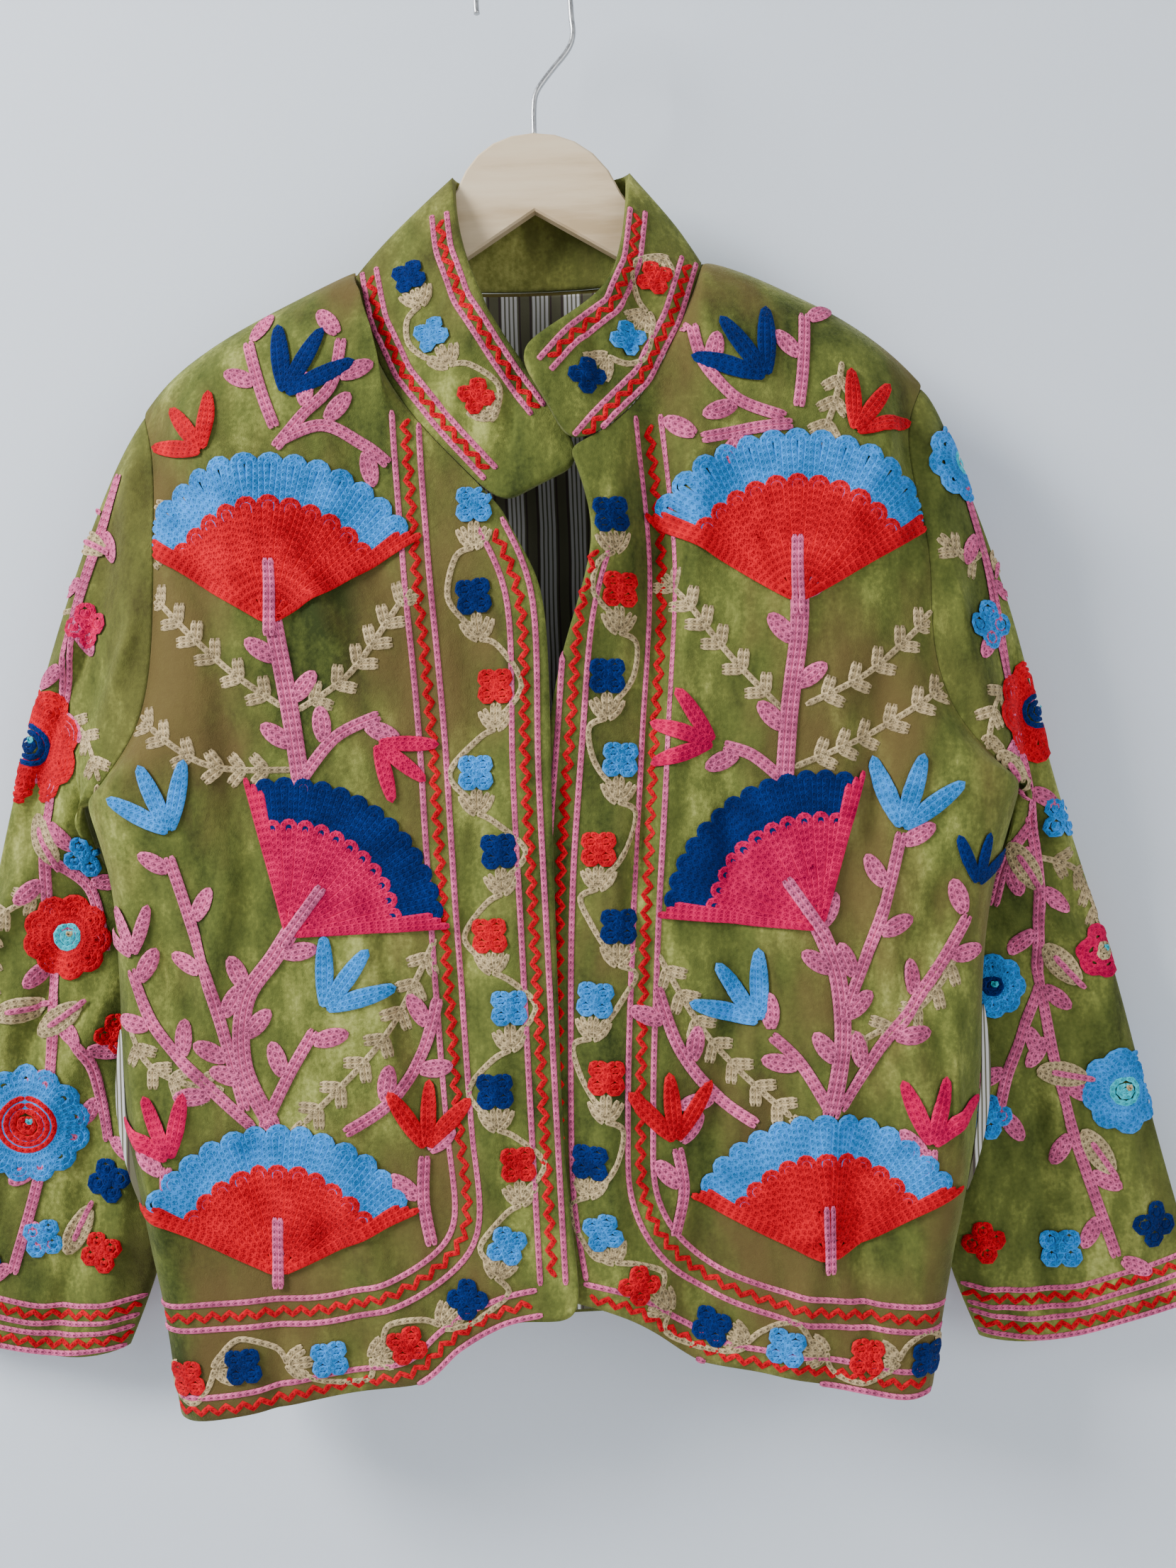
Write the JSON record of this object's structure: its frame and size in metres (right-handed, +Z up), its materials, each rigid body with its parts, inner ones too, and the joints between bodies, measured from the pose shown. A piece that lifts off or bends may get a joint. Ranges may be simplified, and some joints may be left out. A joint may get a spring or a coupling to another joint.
{
  "type": "embroidered jacket on a hanger",
  "caption": "Short velvet jacket with a wide crossing stand collar and drop-shoulder sleeves, hung on a flat wooden hanger with a wire hook.",
  "frame": {"origin": "inner top of the hook's bow, where a rail or a nail carries the hanger", "axes": "+X to the viewer's right, the jacket's front faces -Y, +Z up"},
  "size_m": [0.83, 0.1032, 0.8774],
  "materials": {
    "velvet": "cotton velvet, soft sheen",
    "lining": "striped cotton",
    "birch": "unvarnished pale birch",
    "wire": "galvanised wire"
  },
  "bodies": {
    "root": {"front_right": "velvet", "front_left": "velvet", "back": "velvet", "sleeve_right": "velvet", "sleeve_left": "velvet", "collar": "velvet", "lining_back": "lining", "pocket_right": "lining", "pocket_left": "lining", "hanger_wood": "birch", "hanger_hook": "wire"}
  },
  "joints": []
}
